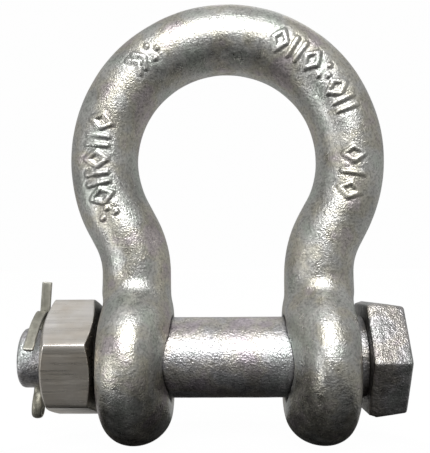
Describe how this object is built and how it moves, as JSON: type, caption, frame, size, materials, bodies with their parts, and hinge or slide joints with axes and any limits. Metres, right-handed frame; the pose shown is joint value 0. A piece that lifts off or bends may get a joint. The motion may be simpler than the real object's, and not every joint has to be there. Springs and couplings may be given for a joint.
{
  "type": "bow shackle",
  "caption": "Galvanised forged bow shackle closed by a safety bolt with a hexagon nut and a split cotter pin.",
  "frame": {"origin": "on the bolt's axis, halfway between the two eyes, where the lug that holds the shackle bears", "axes": "+X along the bolt towards its head, +Z from the bolt to the crown of the bow, +Y through the thickness"},
  "size_m": [0.1062, 0.0474, 0.1256],
  "materials": {
    "galvanised_forging": "hot-dip galvanised, satin",
    "galvanised_bolt": "hot-dip galvanised, rough on the head",
    "machined_nut": "machined, fine scratches",
    "cotter_wire": "dull plain wire"
  },
  "bodies": {
    "bow": {"bow_body": "galvanised_forging"},
    "bolt": {"safety_bolt": "galvanised_bolt"},
    "nut": {"hex_nut": "machined_nut"},
    "cotter": {"cotter_pin": "cotter_wire"}
  },
  "joints": [
    {"name": "bolt_turn", "type": "hinge", "parent": "bow", "child": "bolt", "pos_m": [0, 0, 0], "axis": [1, 0, 0], "continuous": true},
    {"name": "nut_turn", "type": "hinge", "parent": "bolt", "child": "nut", "pos_m": [-0.043, 0, 0], "axis": [-1, 0, 0], "range_deg": [0, 170]},
    {"name": "cotter_slide", "type": "slide", "parent": "bolt", "child": "cotter", "axis": [0, 0, 1], "range_m": [-0.0025, 0.0008]}
  ]
}
